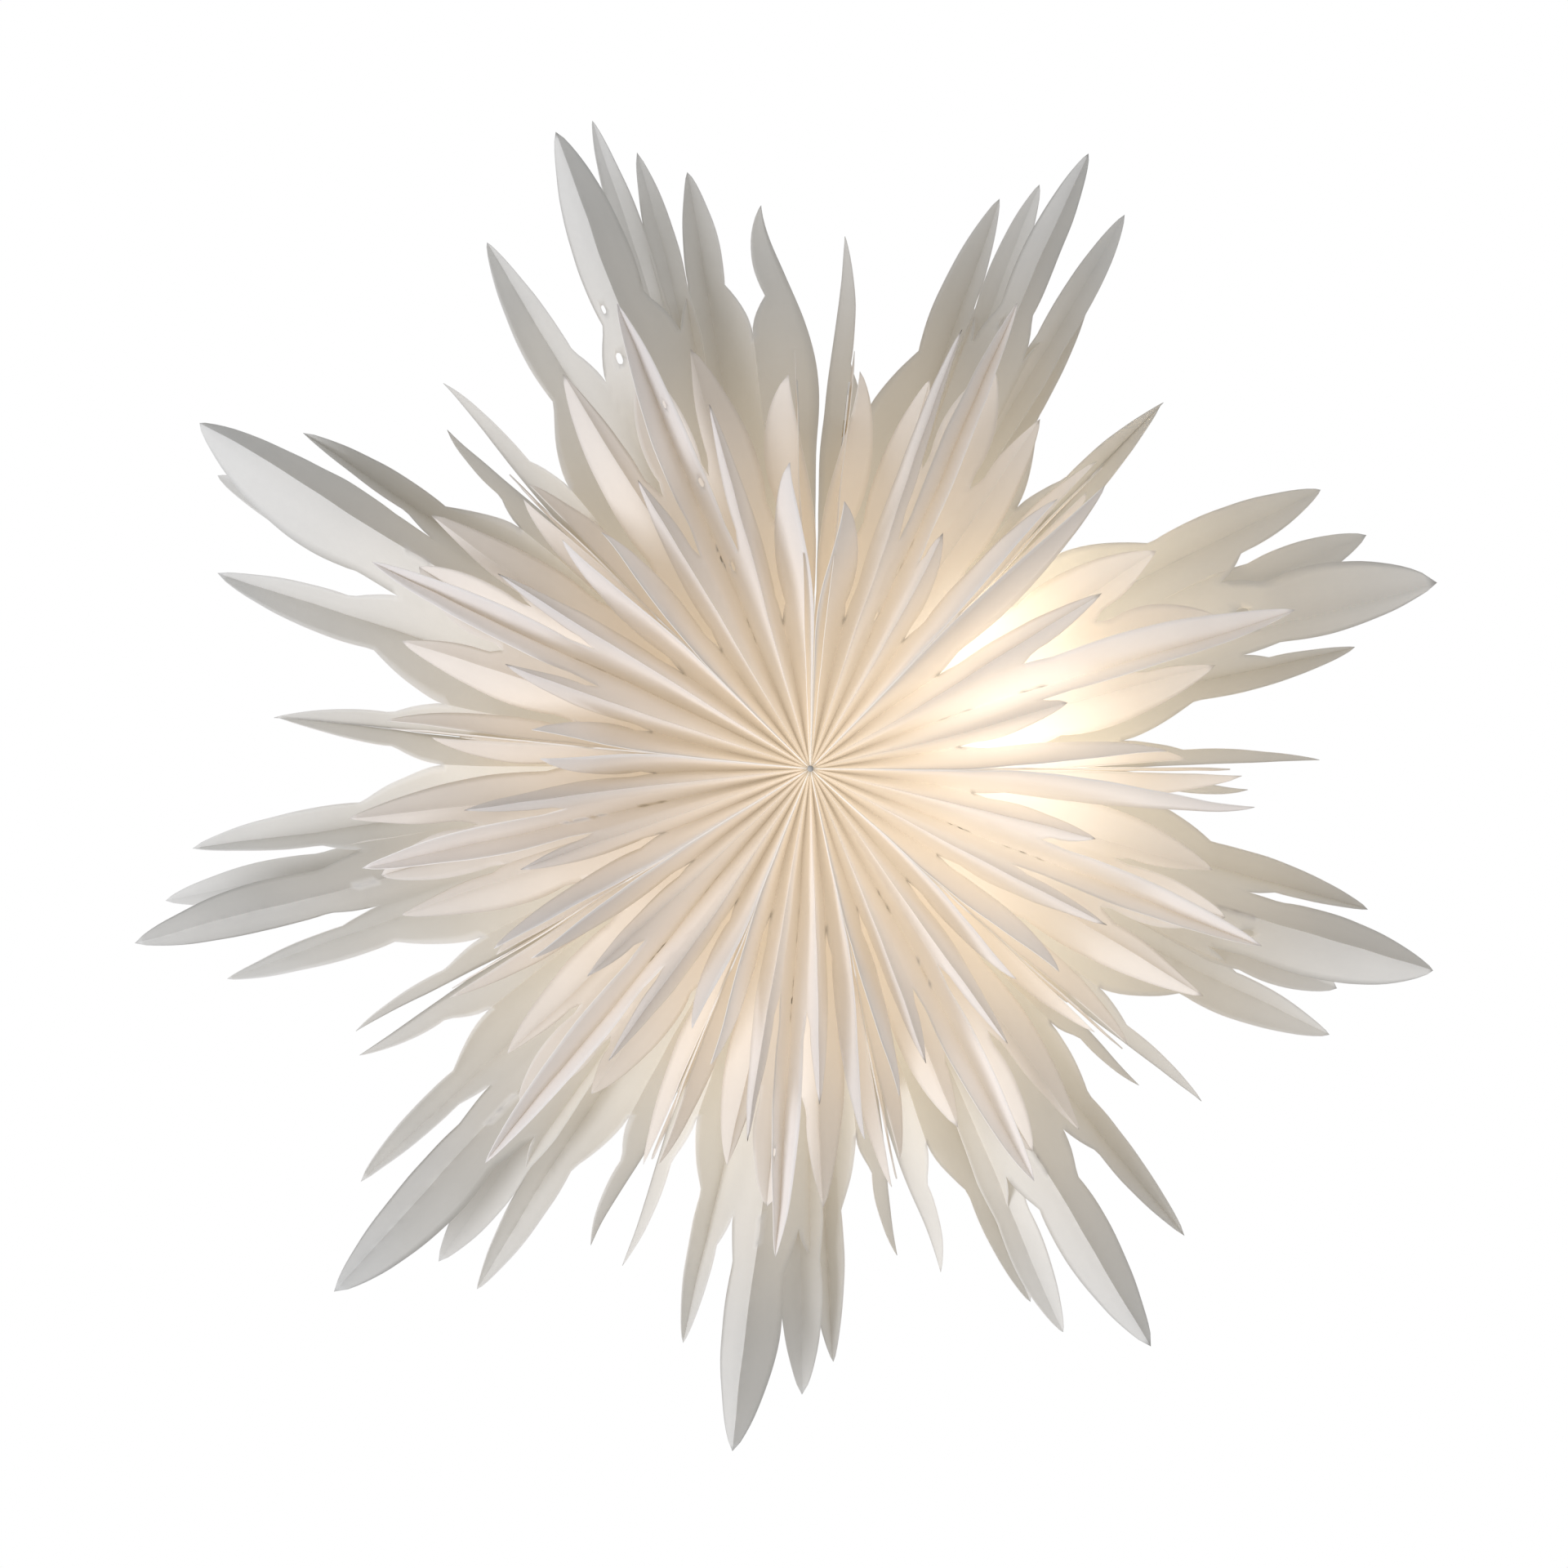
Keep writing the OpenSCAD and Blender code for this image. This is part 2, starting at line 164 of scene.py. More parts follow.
# Millimetres, if nothing else is said
INNER_RADIUS = 1.5
SEAM_SWELL = 3.7        # degrees
ROW_STEP = 5.0
CLOSE_ROWS = 1.6        # a row this near to a notch's own row is left out
COLUMNS = 6
PAPER = 0.35
TONES = random.Random(7)
SIDE_SPLIT = 0.42       # the side ridge's part of the sheet down to the deep fold
BROAD_WRINKLE = (14.0, 1.6)     # scale of the noise per metre, and its height
FINE_WRINKLE = (45.0, 0.45)
WRINKLED_FROM = 90      # radius at which the wrinkles reach their full height
SHARP_FOLD = math.radians(24)
HALF_DEPTH = 128        # of a wall, from the middle plane to its front or rear edge
WALL_LEAN = 0.2         # a wall stands this far inside its own bag, against the next bag's wall
WALL_ROWS = 30
WALL_COLUMNS = 36


def mixed(a, b, share):
    return a + (b - a) * share


def smooth(t):
    t = min(1.0, max(0.0, t))
    return t * t * (3 - 2 * t)


class Crease:
    """A fold line that runs out from the axis, bending from its folded angle to the angle of its tip."""

    def __init__(self, base, tip, near, far, rim, reach, curl=0.0, bends_from=0.0):
        self.base, self.tip, self.near, self.far = base, tip, near, far
        self.rim, self.reach, self.curl, self.bends_from = rim, reach, curl, bends_from

    def angle(self, r):
        return mixed(self.base, self.tip, smooth((r - self.bends_from) / (self.rim - self.bends_from)))

    def depth(self, r):
        t = r / self.rim
        return mixed(self.near, self.far, min(1.2, t) ** 1.5) + self.curl * max(0.0, t - 0.5) ** 2


class Cut:
    """How half a petal narrows beyond its notch: a shoulder down to a waist, then a blade to the tip."""

    def __init__(self, waist_at, waist, belly, point=1.5, slack=0.45, blunt=1.0):
        self.waist_at, self.waist, self.belly = waist_at, waist, belly
        self.point, self.slack, self.blunt = point, slack, blunt

    def scaled(self, factor):
        return Cut(self.waist_at, self.waist * factor, self.belly, self.point, self.slack, self.blunt)

    def width(self, q):
        if q <= 0:
            return 1.0
        if q < self.waist_at:
            return self.waist + (1 - self.waist) * (1 - (q / self.waist_at) ** 1.6)
        p = min(1.0, (q - self.waist_at) / (1 - self.waist_at))
        taper = (1 - p ** self.point) ** self.blunt
        return self.waist * (taper + self.belly * math.sin(math.pi * p ** 0.8) * (1 - p * 0.4))


SPIKE = Cut(0.30, 0.54, 0.10, 1.6, 0.45, 0.85)
SIDE_SPIKE = Cut(0.32, 0.46, 0.16, 2.1, 0.45, 0.75)
BESIDE_ARM = Cut(0.25, 0.55, 0.10, 1.8, 0.45, 0.80)
ARM = Cut(0.20, 0.80, 0.20, 2.8, 0.6, 0.75)
TWIN = Cut(0.25, 0.85, 0.15, 2.4, 0.6, 0.75)
FRONT_PETAL = Cut(0.12, 0.88, 0.26, 2.0, 0.45, 0.75)
BESIDE_LEAF = Cut(0.15, 0.70, 0.15, 1.8)
FRONT_LEAF = Cut(0.12, 0.92, 0.20, 2.5, 0.6, 0.75)

# A tier is one layer of pleats across a bag. Its depths from the middle plane run from the ridge at the wall
# over the valley and the side ridge to the deep fold: near holds them at the axis, and far at the rim, where
# the pleats have opened. share says how far the valley and the side ridge lie from the wall to the deep fold.
REAR_TIER = SimpleNamespace(
    near=(130, 83, 134, 30), far=(128, 96, 124, 46), rim=400, side_notch=268, share=(0.235, 0.60),
    spike=SPIKE, blade=SIDE_SPIKE, blade_in=BESIDE_ARM, leaf=ARM,
)
FRONT_TIER = SimpleNamespace(
    near=(-130, -66, -124, -60), far=(-128, -86, -118, -74), rim=290, side_notch=132, share=(0.32, 0.64),
    spike=FRONT_PETAL, blade=FRONT_PETAL, blade_in=BESIDE_LEAF, leaf=FRONT_LEAF,
)
MIDDLE_TIER = SimpleNamespace(
    near=(-54, -30, -52, -28), far=(-50, -34, -50, -30), rim=290, side_notch=185, share=(0.27, 0.62),
    spike=FRONT_PETAL, blade=FRONT_PETAL, blade_in=BESIDE_LEAF, leaf=FRONT_LEAF,
)


def levels(notches, reach):
    """Radii of the rows: even steps, with every notch on a row of its own."""
    marks = sorted(set(notches))
    steps = np.arange(INNER_RADIUS, reach, ROW_STEP)
    return sorted([r for r in steps if all(abs(r - m) > CLOSE_ROWS for m in marks)] + marks)


def half_petal(mesh, axis, other, share, notch, cut, rows, bow):
    """Adds the sheet from the crease axis, share of the way to the crease other, with its half petal."""
    reach = axis.reach
    end = max(notch, reach)
    radii = [r for r in rows if r < end - 1.5] + [end]
    full_angle = (other.angle(notch) - axis.angle(notch)) * share
    full_width = math.radians(full_angle) * notch
    full_fall = (other.depth(notch) - axis.depth(notch)) * share
    grid = []
    tone = TONES.uniform(0.0, 1.0)
    for r in radii:
        line = []
        q = 0.0 if reach <= notch else (r - notch) / (reach - notch)
        for column in range(COLUMNS + 1):
            s = column / COLUMNS
            swell = bow * math.sin(math.pi * s) * min(1.0, r / 120)
            if r <= notch:
                angle = mixed(axis.angle(r), other.angle(r), s * share)
                depth = mixed(axis.depth(r), other.depth(r), s * share)
            else:
                w = cut.width(q)
                angle = axis.angle(r) + math.degrees(full_width * s * w / r)
                depth = axis.depth(r) + full_fall * s * w * (1 - cut.slack * q)
                swell *= w
            if full_angle < 0:
                swell = -swell
            angle += math.degrees(swell / max(r, 20.0))
            line.append((angle, r, depth, s, tone))
        grid.append(line)
    mesh.add(grid, flip=full_angle > 0)


class SheetMesh:
    """Collects grids of (angle, radius, depth, distance from the crease, tone) and makes one mesh of them."""

    def __init__(self):
        self.points, self.faces = [], []

    def add(self, grid, flip):
        first = len(self.points)
        width = len(grid[0])
        for line in grid:
            self.points += line
        for j in range(len(grid) - 1):
            for i in range(width - 1):
                a = first + j * width + i
                quad = (a, a + 1, a + width + 1, a + width)
                self.faces.append(quad[::-1] if flip else quad)

    def build(self, name, punched=()):
        mesh = bpy.data.meshes.new(name)
        bm = bmesh.new()
        tags = {key: bm.verts.layers.float.new(key) for key in ("fold", "turn", "glow", "tone")}
        made = []
        for angle, radius, depth, fold, tone in self.points:
            v = bm.verts.new(place(angle, radius, depth))
            v[tags["fold"]], v[tags["turn"]], v[tags["tone"]] = fold, angle, tone
            made.append(v)
        for face in self.faces:
            bm.faces.new([made[i] for i in face])
        bmesh.ops.remove_doubles(bm, verts=bm.verts, dist=0.02 * MM)
        bmesh.ops.dissolve_degenerate(bm, edges=bm.edges, dist=0.01 * MM)
        for hole in punched:
            punch(bm, place(*hole))
        for v in bm.verts:
            v.co += wrinkle_at(v.co) * MM * min(1.0, from_axis(v.co) / WRINKLED_FROM)
            # Painted light: each point keeps its share of the lamp's glow, painted into the emission
            v[tags["glow"]] = painted_lamp_glow_at(v.co)
        for face in bm.faces:
            face.smooth = True
        for edge in bm.edges:
            if len(edge.link_faces) == 2 and edge.calc_face_angle(0.0) > SHARP_FOLD:
                edge.smooth = False
        bm.to_mesh(mesh)
        bm.free()
        piece = bpy.data.objects.new(name, mesh)
        bpy.context.scene.collection.objects.link(piece)
        return piece


def from_axis(co):
    """Distance of a point from the star's axis, in millimetres."""
    return Vector((co.x - CENTRE.x, 0, co.z - CENTRE.z)).length / MM


def wrinkle_at(co):
    """The paper's crinkles at a point, in millimetres."""
    (broad, height), (fine, low_height) = BROAD_WRINKLE, FINE_WRINKLE
    return noise.noise_vector(co * broad) * height + noise.noise_vector(co * fine) * low_height


def punch(bm, where):
    """Cuts a small oval hole through the sheet at the grid cell nearest to a point."""
    bm.faces.ensure_lookup_table()
    cell = min(bm.faces, key=lambda f: (f.calc_center_median() - where).length)
    centre = cell.calc_center_median()
    if any(v.is_boundary for v in cell.verts):
        return
    spans = [(v.co - centre).length for v in cell.verts]
    sides = list(cell.edges)
    bm.faces.remove(cell)
    bmesh.ops.subdivide_edges(bm, edges=sides, cuts=2)
    for v in bm.verts:
        out = v.co - centre
        if v.is_boundary and out.length < 1.02 * max(spans):
            v.co = centre + out.normalized() * mixed(out.length, 0.2 * sum(spans), 0.8)


def painted_lamp_glow_at(co):
    """Share of the lamp's light at a point, painted into the paper's emission: strong by the lamp, and soft
    through the middle of the star.
    """
    from_heart = Vector((co.x - CENTRE.x - 0.02, 0, co.z - CENTRE.z + 0.035)).length / MM
    depth = abs(co.y - CENTRE.y) / MM
    by_lamp = 1.0 / (1.0 + ((co - GLOW_HEART).length / 0.09) ** 2)
    middle_share = max(0.0, 1.0 - from_axis(co) / 160)
    # Painted shade: towards the rim, the front folds darken as they near the viewer
    inward = min(1.0, max(0.0, (132 - depth) / 70))
    outer_folds = 1.0 if co.y > CENTRE.y else 0.36 + 0.60 * inward
    # Painted shade: in the middle, the valleys between the ridges stay darker
    in_valley = max(0.0, 1.0 - abs(depth - 66) / 45)
    in_folds = mixed(outer_folds, 0.94 - 0.68 * in_valley, middle_share)
    in_star = math.exp(-(from_heart / 255) ** 2) * in_folds
    return min(1.0, 0.43 * by_lamp * mixed(1.0, in_folds, middle_share) + 0.32 * in_star)


def first_fold(wall, deep_base):
    """Where a bag's pleats leave its wall; at the two end cards they swell out to meet at the seam."""
    if wall == WALLS[0]:
        return wall + SEAM_SWELL
    if wall == WALLS[-1]:
        return wall - SEAM_SWELL
    return mixed(wall, deep_base, 0.006)


def half_tier(mesh, tier, wall, deep_base, small, notch, side, arm, dice, wide=1.0):
    """One half of a gusset, from the wall to the deep fold, as four creases and the petals on them."""
    near, far, rim = tier.near, tier.far, tier.rim
    valley_share, side_share = tier.share

    def crease(which, base_share, tip, reach, curl=0.0):
        base = mixed(wall, deep_base, base_share)
        return Crease(base, tip, near[which], far[which], rim, reach, curl)

    ridge = Crease(first_fold(wall, deep_base), small[0], near[0], far[0], small[1], small[1],
                   dice.uniform(-12, 12), bends_from=0.85 * notch[1])
    valley = crease(1, valley_share, notch[0], 0)
    flank = crease(2, side_share, side[0], side[1], dice.uniform(-14, 14))
    deep = Crease(deep_base, arm[0], near[3], far[3], rim, arm[1], arm[2])
    side_notch = tier.side_notch + dice.uniform(-8, 8)
    rows = levels((notch[1], side_notch), max(small[1], side[1], arm[1]))
    sign = 1 if near[0] > 0 else -1
    bow = [dice.uniform(-1.5, 3.0) * sign for _ in range(5)]
    half_petal(mesh, ridge, valley, 1.0, notch[1], tier.spike, rows, bow[1])
    half_petal(mesh, flank, valley, 1.0, notch[1], tier.blade, rows, bow[2])
    half_petal(mesh, flank, deep, SIDE_SPLIT, side_notch, tier.blade_in, rows, bow[3])
    half_petal(mesh, deep, flank, 1 - SIDE_SPLIT, side_notch, tier.leaf.scaled(wide), rows, bow[4])


def twin_leaf(mesh, deep, angle, reach, dice, wide):
    """A second leaf tucked behind a large arm, on a crease of its own in the rear groove."""
    depth = REAR_TIER.near[3] + 62
    axis = Crease(mixed(deep, angle, 0.6), angle, depth + 6, depth + 22, REAR_TIER.rim, reach,
                  dice.uniform(-8, 8))
    rows = levels((REAR_TIER.side_notch,), reach)
    for turn in (-1, 1):
        edge = Crease(axis.base + 2.2 * turn * wide, angle + 3.4 * turn * wide, depth, depth + 12,
                      REAR_TIER.rim, 0)
        half_petal(mesh, axis, edge, 1.0, REAR_TIER.side_notch, TWIN, rows, dice.uniform(0, 2))


def fold_with_walls(piece):
    """Bakes the piece's placement into its mesh and reads each point's turn into an array; the turn is not
    applied, so nothing folds.
    """
    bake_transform(piece)
    turn = np.zeros(len(piece.data.vertices), np.float32)
    piece.data.attributes["turn"].data.foreach_get("value", turn)


def finished(mesh, name, node, material, holes=()):
    piece = mesh.build(name, holes)
    thick = piece.modifiers.new("paper", "SOLIDIFY")
    thick.thickness = PAPER * MM
    thick.offset = 0
    thick.use_rim = True
    thick.material_offset_rim = 1
    bpy.context.view_layer.objects.active = piece
    piece.data.materials.append(material)
    # The rim faces take the paler painted edge highlight
    piece.data.materials.append(PAINTED_EDGE_HIGHLIGHT)
    with bpy.context.temp_override(object=piece):
        bpy.ops.object.modifier_apply(modifier="paper")
    fold_with_walls(piece)
    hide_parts(node)
    return piece


# Punched holes by bag: the angle, and the radius in millimetres
REAR_HOLES = {1: [(70, 292)], 2: [(24, 278)], 3: [(-22, 278)], 9: [(-245, 300), (-244, 271)]}
FRONT_HOLES = {1: [(66, 123), (67, 94)], 5: [(-98, 220)], 9: [(-248.5, 226), (-254, 173), (-250.5, 124)]}


def rear_pleats(bag):
    cut = REAR[bag - 1]
    dice = random.Random(100 + bag)
    left, right = WALLS[bag - 1], WALLS[bag]
    deep = mixed((left + right) / 2, cut["arm"][0], 0.35)
    arm = (*cut["arm"], dice.uniform(-20, 20))
    mesh = SheetMesh()
    for hand, wall in ((0, left), (1, right)):
        half_tier(mesh, REAR_TIER, wall, deep, cut["small"][hand], cut["notch"][hand],
                  cut["side"][hand], arm, dice, cut["wide"])
    for angle, reach in TWINS[bag - 1]:
        twin_leaf(mesh, deep, angle, reach, dice, min(1.0, cut["wide"]))
    holes = [(*hole, 52) for hole in REAR_HOLES.get(bag, [])]
    return finished(mesh, f"bag_{bag}_rear_pleats", f"bag_{bag}_rear_gusset",
                    PAPER_REAR, holes)


def front_pleats(bag):
    cut = FRONT[bag - 1]
    dice = random.Random(200 + bag)
    left, right = WALLS[bag - 1], WALLS[bag]
    deep = mixed((left + right) / 2, cut["leaf"][0], 0.5)
    leaf = (*cut["leaf"], dice.uniform(-10, 10))
    mesh = SheetMesh()
    for hand, wall in ((0, left), (1, right)):
        notch = (mixed(wall, deep, FRONT_TIER.share[1]), dice.uniform(84, 96))
        half_tier(mesh, FRONT_TIER, wall, deep, cut["small"][hand], notch, cut["side"][hand], leaf, dice)
    holes = [(*hole, -80) for hole in FRONT_HOLES.get(bag, [])]
    return finished(mesh, f"bag_{bag}_front_pleats", f"bag_{bag}_front_gusset",
                    PAPER_FRONT, holes)


def wall_reach(depth):
    """Radius of a wall's outer edge at a depth from the middle plane."""
    depths = (-HALF_DEPTH, -100, -70, -40, -10, 20, 50, 70, 100, HALF_DEPTH)
    radii = (120, 130, 165, 228, 246, 236, 205, 200, 205, 212)
    return float(np.interp(depth, depths, radii))


def wall_leaf(bag, hand):
    """A bag's flat wall with the middle layer of pleats that folds out of it into the bag."""
    left, right = WALLS[bag - 1], WALLS[bag]
    wall = (left, right)[hand]
    dice = random.Random(300 + 10 * bag + hand)
    lean = (-1, 1)[hand] * WALL_LEAN
    mesh = SheetMesh()
    grid = []
    for j in range(WALL_ROWS + 1):
        line = []
        for i in range(WALL_COLUMNS + 1):
            depth = -HALF_DEPTH + 2 * HALF_DEPTH * i / WALL_COLUMNS
            r = mixed(INNER_RADIUS + 1, wall_reach(depth), j / WALL_ROWS)
            line.append((wall + math.degrees(lean / r), r, depth, 0.5, 0.5))
        grid.append(line)
    mesh.add(grid, flip=hand == 0)
    deep = (left + right) / 2
    small = (mixed(wall, deep, 0.05), dice.uniform(205, 250))
    notch = (mixed(wall, deep, 0.27), dice.uniform(132, 145))
    side = (mixed(wall, deep, dice.uniform(0.55, 0.68)), dice.uniform(220, 268))
    leaf = (mixed(deep, REAR[bag - 1]["arm"][0], 0.5), 255, 0.0)
    half_tier(mesh, MIDDLE_TIER, wall, deep, small, notch, side, leaf, dice)
    side_name = ("left", "right")[hand]
    return finished(mesh, f"bag_{bag}_{side_name}_wall", f"bag_{bag}_{side_name}_panel",
                    PAPER_MIDDLE)


# ---------------------------------------------------------------- materials


def nodes_of(name):
    material = bpy.data.materials.new(name)
    material.use_nodes = True
    tree = material.node_tree
    tree.nodes.clear()
    return material, tree


def link(tree, a, out, b, socket):
    tree.links.new(a.outputs[out], b.inputs[socket])


def fibre_bump(tree, strength, distance):
    """Bump of long-fibred paper: fine fibres over soft clouds."""
    coords = tree.nodes.new("ShaderNodeTexCoord")
    fine = tree.nodes.new("ShaderNodeTexNoise")
    fine.inputs["Scale"].default_value = 220
    fine.inputs["Detail"].default_value = 1
    fine.inputs["Roughness"].default_value = 0.7
    soft = tree.nodes.new("ShaderNodeTexNoise")
    soft.inputs["Scale"].default_value = 110
    soft.inputs["Detail"].default_value = 1
    total = tree.nodes.new("ShaderNodeMath")
    total.operation = "ADD"
    bump = tree.nodes.new("ShaderNodeBump")
    bump.inputs["Strength"].default_value = strength
    bump.inputs["Distance"].default_value = distance
    link(tree, coords, "Object", fine, "Vector")
    link(tree, coords, "Object", soft, "Vector")
    link(tree, fine, "Fac", total, 0)
    link(tree, soft, "Fac", total, 1)
    link(tree, total, 0, bump, "Height")
    return coords, fine, soft, bump


def ramp(tree, stops):
    made = tree.nodes.new("ShaderNodeValToRGB")
    elements = made.color_ramp.elements
    while len(elements) < len(stops):
        elements.new(0.5)
    for element, (position, colour) in zip(elements, stops):
        element.position = position
        element.color = (*colour, 1)
    return made


def darkened(tree, source, attribute, span, shades):
    """The source's colour, scaled as a vertex attribute runs over span."""
    reader = tree.nodes.new("ShaderNodeAttribute")
    reader.attribute_name = attribute
    scale = tree.nodes.new("ShaderNodeMapRange")
    for socket, value in zip(("From Min", "From Max", "To Min", "To Max"), (*span, *shades)):
        scale.inputs[socket].default_value = value
    product = tree.nodes.new("ShaderNodeVectorMath")
    product.operation = "SCALE"
    link(tree, reader, "Fac", scale, "Value")
    link(tree, source, 0, product, 0)
    link(tree, scale, "Result", product, "Scale")
    return product


def paper(name, tint, through, glow_gain, translucency):
    """Matt white lantern paper: scatters light, passes warm light from behind, and has the lamp's light
    painted in as a warm emission.
    """
    material, tree = nodes_of(name)
    coords, fine, soft, bump = fibre_bump(tree, 0.07, 0.0002)
    cloud = tree.nodes.new("ShaderNodeTexNoise")
    cloud.inputs["Scale"].default_value = 9
    cloud.inputs["Detail"].default_value = 3
    link(tree, coords, "Object", cloud, "Vector")
    mottle = tree.nodes.new("ShaderNodeMath")
    mottle.operation = "MULTIPLY_ADD"
    mottle.inputs[1].default_value = 0.35
    link(tree, fine, "Fac", mottle, 0)
    link(tree, cloud, "Fac", mottle, 2)
    shade = ramp(tree, [(0.35, tuple(0.93 * c for c in tint)), (1.0, tint)])
    link(tree, mottle, 0, shade, "Fac")
    layered = darkened(tree, shade, "tone", (0.0, 1.0), (0.90, 1.0))
    # Painted shade: the colour darkens towards each half petal's crease, where the fold attribute nears 0
    painted_crease_shade = darkened(tree, layered, "fold", (0.0, 0.45), (0.94, 1.0))
    surface = tree.nodes.new("ShaderNodeBsdfPrincipled")
    surface.inputs["Roughness"].default_value = 0.82
    surface.inputs["Specular IOR Level"].default_value = 0.25
    link(tree, painted_crease_shade, 0, surface, "Base Color")
    link(tree, bump, "Normal", surface, "Normal")
    back = tree.nodes.new("ShaderNodeBsdfTranslucent")
    back.inputs["Color"].default_value = (*through, 1)
    mix = tree.nodes.new("ShaderNodeMixShader")
    mix.inputs["Fac"].default_value = translucency
    link(tree, surface, "BSDF", mix, 1)
    link(tree, back, "BSDF", mix, 2)
    # Painted light: the glow attribute, with cloudy patches, drives a warm emission that paints the lamp's
    # light into the paper
    glow = tree.nodes.new("ShaderNodeAttribute")
    glow.attribute_name = "glow"
    painted_lamplight = ramp(tree, [(0.0, (0.0, 0.0, 0.0)), (0.15, (0.125, 0.095, 0.060)),
                         (0.40, (0.36, 0.295, 0.215)), (0.75, (0.86, 0.81, 0.73))])
    patches = tree.nodes.new("ShaderNodeMath")
    patches.operation = "MULTIPLY_ADD"
    patches.inputs[1].default_value = 0.10
    lit = tree.nodes.new("ShaderNodeMath")
    lit.operation = "SUBTRACT"
    lit.inputs[1].default_value = 0.05
    link(tree, cloud, "Fac", patches, 0)
    link(tree, glow, "Fac", patches, 2)
    link(tree, patches, 0, lit, 0)
    link(tree, lit, 0, painted_lamplight, "Fac")
    link(tree, painted_lamplight, "Color", surface, "Emission Color")
    surface.inputs["Emission Strength"].default_value = glow_gain
    out = tree.nodes.new("ShaderNodeOutputMaterial")
    link(tree, mix, "Shader", out, "Surface")
    material.cycles.emission_sampling = "NONE"
    return material


def plain(name, colour, roughness, metallic=0.0, bump_strength=0.08, emission=None, alpha=1.0):
    """A moulded or metal surface with fine grain in its colour, roughness and relief."""
    material, tree = nodes_of(name)
    coords, fine, soft, bump = fibre_bump(tree, bump_strength, 0.0002)
    shade = ramp(tree, [(0.3, tuple(0.9 * c for c in colour)), (0.8, colour)])
    link(tree, soft, "Fac", shade, "Fac")
    rough = tree.nodes.new("ShaderNodeMapRange")
    rough.inputs["To Min"].default_value = roughness * 0.8
    rough.inputs["To Max"].default_value = min(1.0, roughness * 1.25)
    link(tree, fine, "Fac", rough, "Value")
    surface = tree.nodes.new("ShaderNodeBsdfPrincipled")
    surface.inputs["Metallic"].default_value = metallic
    surface.inputs["Alpha"].default_value = alpha
    link(tree, shade, "Color", surface, "Base Color")
    link(tree, rough, "Result", surface, "Roughness")
    link(tree, bump, "Normal", surface, "Normal")
    if emission:
        surface.inputs["Emission Color"].default_value = (*emission[0], 1)
        surface.inputs["Emission Strength"].default_value = emission[1]
    out = tree.nodes.new("ShaderNodeOutputMaterial")
    link(tree, surface, "BSDF", out, "Surface")
    return material


# Painted light: one paper in three tints; the front tier is a cooler lavender white where the front light
# falls, the rear tier a darker grey for its shade
PAPER_FRONT = paper("front_paper", (0.865, 0.868, 0.90), (0.92, 0.89, 0.84), 0.85, 0.38)
PAPER_MIDDLE = paper("middle_paper", (0.86, 0.855, 0.86), (0.92, 0.88, 0.82), 0.90, 0.40)
PAPER_REAR = paper("rear_paper", (0.835, 0.845, 0.845), (0.90, 0.90, 0.87), 0.90, 0.34)
# Painted highlight: the cut rims are a paler tint with full glow gain, standing in for light caught at the
# paper's edges
PAINTED_EDGE_HIGHLIGHT = paper("cut_edge_painted_highlight", (0.93, 0.93, 0.93), (0.95, 0.93, 0.90), 1.0, 0.30)

CARRIED = {
    "first_end_card": plain("card", (0.84, 0.83, 0.80), 0.85, bump_strength=0.2),
    "hook_dots": plain("hook_tape", (0.82, 0.82, 0.80), 0.7, bump_strength=0.8),
    "hanging_eyelet": plain("eyelet_brass", (0.80, 0.66, 0.38), 0.25, 1.0),
    "spine_thread": plain("cotton_thread", (0.45, 0.44, 0.42), 0.9, bump_strength=0.8),
    "lampholder_barrel": plain("holder_plastic", (0.85, 0.85, 0.83), 0.4),
    "shell_contact": plain("contact_brass", (0.78, 0.62, 0.36), 0.35, 1.0),
    "bulb_globe": plain("lit_globe", (0.95, 0.90, 0.80), 0.4, emission=((1.0, 0.80, 0.52), 6.0)),
    "bulb_screw_cap": plain("nickel", (0.72, 0.72, 0.74), 0.3, 1.0),
    "bulb_insulator": plain("black_glass", (0.03, 0.03, 0.035), 0.15),
    "filament_stem": plain("clear_glass", (0.92, 0.94, 0.95), 0.1, alpha=0.4),
    "filaments": plain("lit_filament", (1.0, 0.85, 0.5), 0.5, emission=((1.0, 0.75, 0.4), 12.0)),
}
SAME_LOOK = {
    "last_end_card": "first_end_card",
    "loop_dots": "hook_dots",
    "lampholder_cap": "lampholder_barrel",
    "lampholder_ring": "lampholder_barrel",
    "centre_contact": "shell_contact",
    "bulb_contact": "bulb_screw_cap",
}


def dress_cad_nodes():
    for node, obj in frame["nodes"].items():
        look = CARRIED.get(SAME_LOOK.get(node, node))
        if look:
            obj.data.materials.clear()
            obj.data.materials.append(look)


# ---------------------------------------------------------------- stage, light and camera


def emitter(name, colour, strength):
    material, tree = nodes_of(name)
    shine = tree.nodes.new("ShaderNodeEmission")
    shine.inputs["Color"].default_value = (*colour, 1)
    shine.inputs["Strength"].default_value = strength
    out = tree.nodes.new("ShaderNodeOutputMaterial")
    link(tree, shine, "Emission", out, "Surface")
    material.cycles.emission_sampling = "NONE"
    return material


def make_stage():
    bpy.ops.mesh.primitive_uv_sphere_add(radius=40, segments=48, ring_count=24, location=CENTRE)
    dome = bpy.context.object
    dome.name = "backdrop"
    dome.data.materials.append(emitter("backdrop_white", (1, 1, 1), 1.0))
    for kind in ("diffuse", "glossy", "transmission", "volume_scatter", "shadow"):
        setattr(dome, f"visible_{kind}", False)
    bpy.ops.mesh.primitive_plane_add(size=60, location=(CENTRE.x, CENTRE.y, CENTRE.z - 0.62))
    floor = bpy.context.object
    floor.name = "floor"
    floor.data.materials.append(emitter("floor_white", (1, 1, 1), 1.0))
    for kind in ("diffuse", "glossy", "transmission", "shadow"):
        setattr(floor, f"visible_{kind}", False)


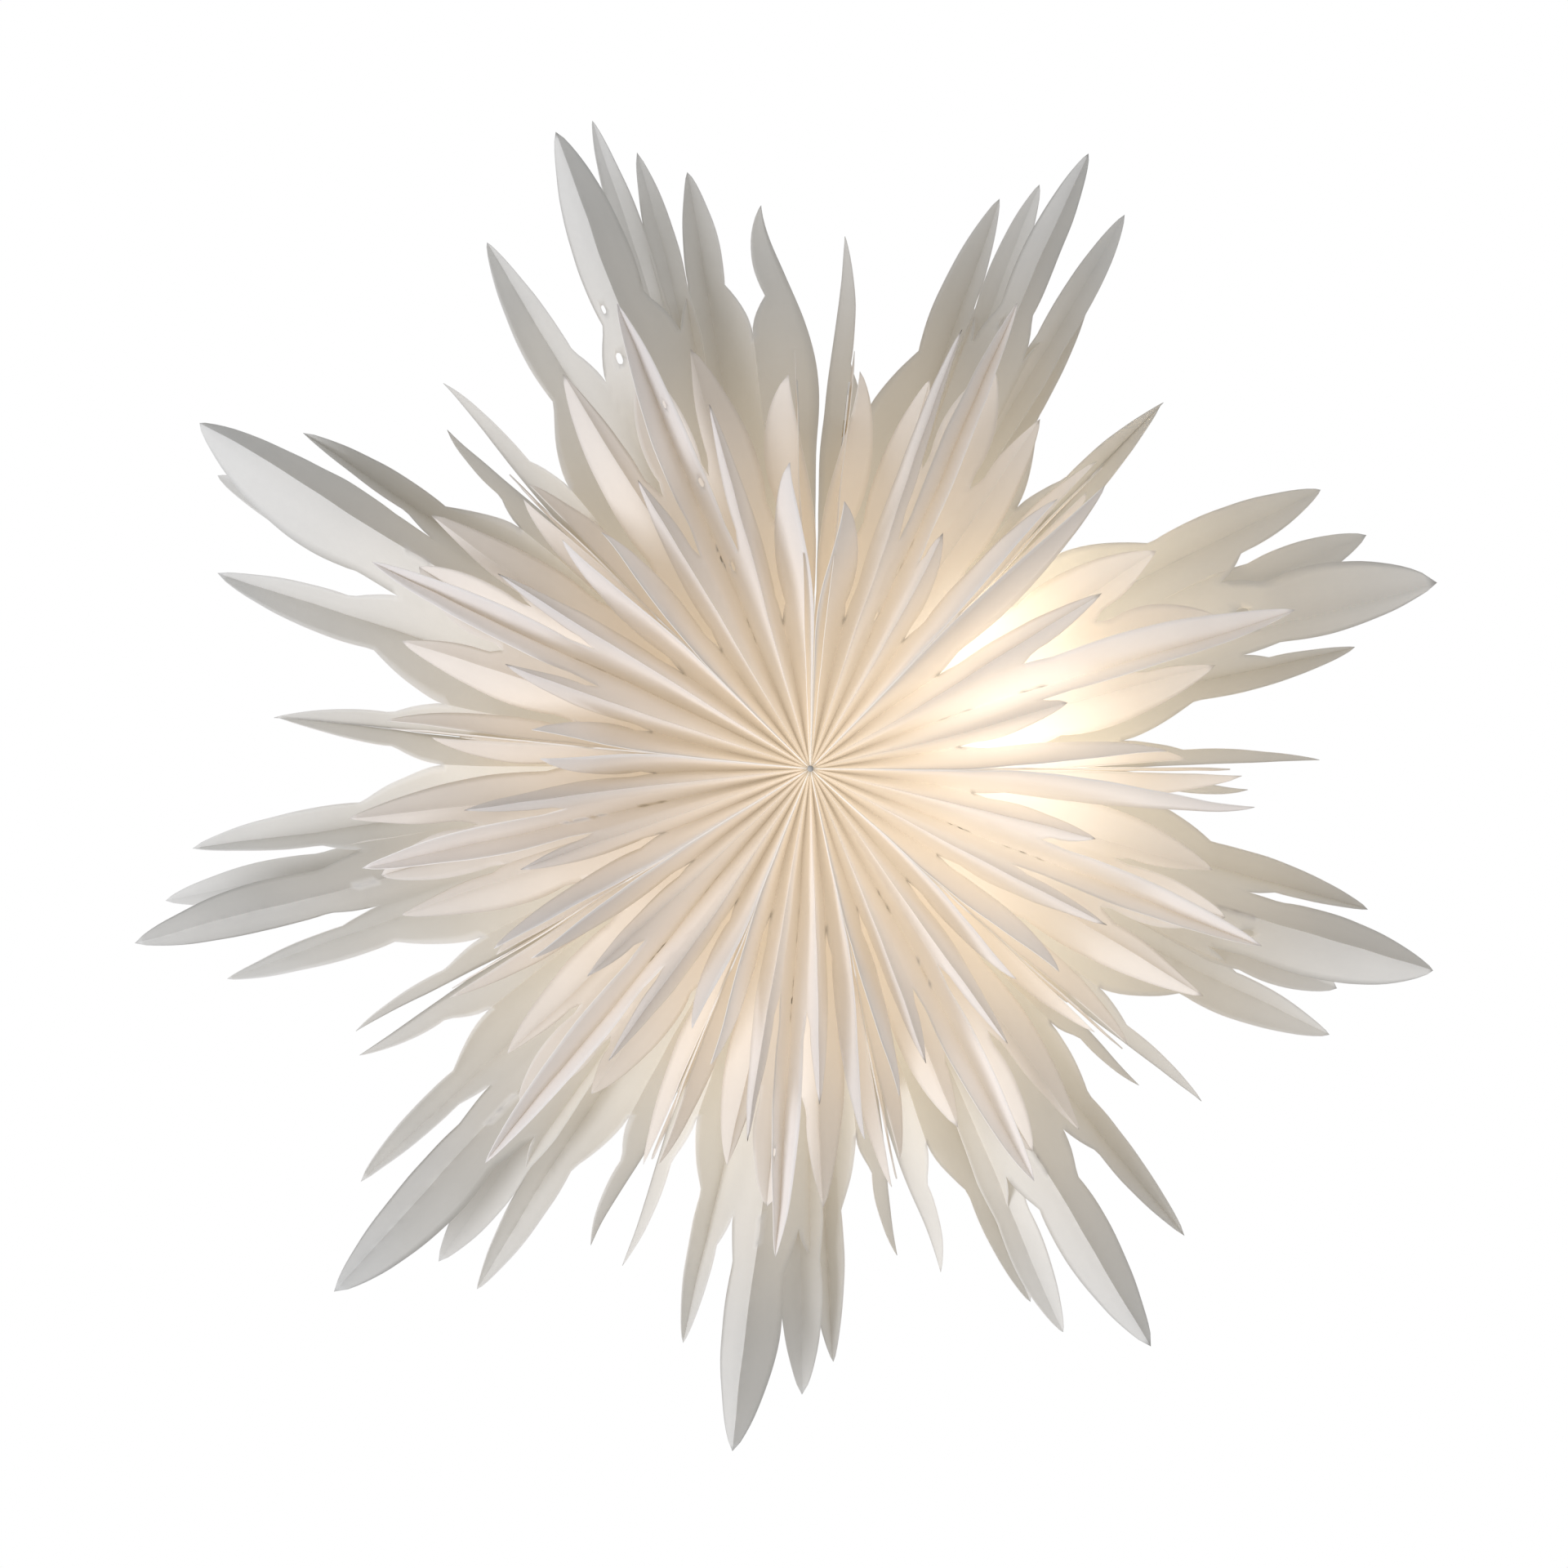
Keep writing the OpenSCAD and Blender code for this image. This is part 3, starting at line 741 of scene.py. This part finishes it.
def area_light(name, place_at, target, size, power, colour):
    light = bpy.data.lights.new(name, "AREA")
    light.shape = "DISK"
    light.size = size
    light.energy = power
    light.color = colour
    made = bpy.data.objects.new(name, light)
    bpy.context.scene.collection.objects.link(made)
    made.location = place_at
    made.rotation_euler = (Vector(target) - Vector(place_at)).to_track_quat("-Z", "Y").to_euler()


def make_light():
    world = bpy.data.worlds.new("studio")
    bpy.context.scene.world = world
    world.use_nodes = True
    world.node_tree.nodes["Background"].inputs["Color"].default_value = (0.98, 0.985, 1.0, 1)
    world.node_tree.nodes["Background"].inputs["Strength"].default_value = 0.50
    area_light("key", CENTRE + Vector((-1.8, -2.1, -1.0)), CENTRE, 1.6, 57, (0.98, 0.97, 1.0))
    area_light("fill", CENTRE + Vector((1.6, -2.2, -0.6)), CENTRE, 1.8, 1.5, (1.0, 0.98, 0.97))
    lamp = bpy.data.lights.new("lamp", "POINT")
    lamp.energy = 1.1
    lamp.color = (1.0, 0.80, 0.56)
    lamp.shadow_soft_size = 0.024
    made = bpy.data.objects.new("lamp", lamp)
    bpy.context.scene.collection.objects.link(made)
    made.location = LAMP
    made.parent = frame["bodies"]["wall_1"]


PICTURE_WIDTH = 0.916
CAMERA_DISTANCE = 3.3
CAMERA_SHIFT = (-0.0148, -0.0086)
SENSOR = 36


def make_camera():
    camera = bpy.data.cameras.new("camera")
    camera.sensor_width = SENSOR
    camera.lens = SENSOR * CAMERA_DISTANCE / PICTURE_WIDTH
    camera.clip_end = 100
    made = bpy.data.objects.new("camera", camera)
    bpy.context.scene.collection.objects.link(made)
    made.location = CENTRE + Vector((CAMERA_SHIFT[0], -CAMERA_DISTANCE, CAMERA_SHIFT[1]))
    made.rotation_euler = (math.pi / 2, 0, 0)
    bpy.context.scene.camera = made


# ---------------------------------------------------------------- the scene

make_camera()
make_light()
make_stage()
dress_cad_nodes()
for number in range(1, 10):
    front_pleats(number)
    rear_pleats(number)
    wall_leaf(number, 0)
    wall_leaf(number, 1)

bpy.context.scene.view_settings.view_transform = "Standard"
